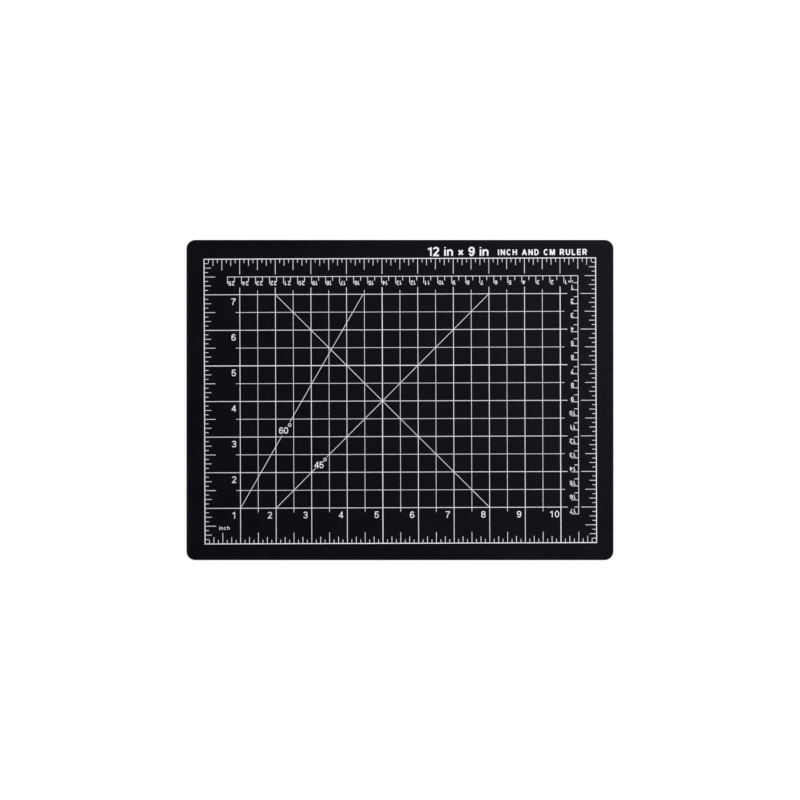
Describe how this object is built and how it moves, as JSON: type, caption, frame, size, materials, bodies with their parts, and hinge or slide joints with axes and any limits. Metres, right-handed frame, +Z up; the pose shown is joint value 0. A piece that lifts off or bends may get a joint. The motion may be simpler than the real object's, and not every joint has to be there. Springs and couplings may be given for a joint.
{
  "type": "self healing cutting mat",
  "caption": "Thin flat cutting mat with rounded corners, laminated from soft and rigid plies, printed with an inch ruler, a grid, angle lines and a centimetre scale.",
  "frame": {"origin": "centre of the underside, on the surface that the mat lies on", "axes": "+Z up out of the printed side, +X along the long side towards the right end of the inch ruler, +Y towards the far long side"},
  "size_m": [0.3048, 0.2286, 0.003],
  "materials": {
    "soft_pvc": "matte, fine stipple",
    "rigid_core": "matte cut edge",
    "ink": "matte screen-printed ink"
  },
  "bodies": {
    "root": {"bottom_ply": "soft_pvc", "lower_core_ply": "rigid_core", "centre_ply": "soft_pvc", "upper_core_ply": "rigid_core", "top_ply": "soft_pvc", "inch_grid_print": "ink", "cm_scale_print": "ink", "inch_numeral_across_1": "ink", "inch_numeral_across_2": "ink", "inch_numeral_across_3": "ink", "inch_numeral_across_4": "ink", "inch_numeral_across_5": "ink", "inch_numeral_across_6": "ink", "inch_numeral_across_7": "ink", "inch_numeral_across_8": "ink", "inch_numeral_across_9": "ink", "inch_numeral_across_10_one": "ink", "inch_numeral_across_10_zero": "ink", "inch_numeral_up_2": "ink", "inch_numeral_up_3": "ink", "inch_numeral_up_4": "ink", "inch_numeral_up_5": "ink", "inch_numeral_up_6": "ink", "inch_numeral_up_7": "ink", "angle_45_first_digit": "ink", "angle_45_second_digit": "ink", "angle_45_degree_sign": "ink", "angle_60_first_digit": "ink", "angle_60_second_digit": "ink", "angle_60_degree_sign": "ink"}
  },
  "joints": []
}
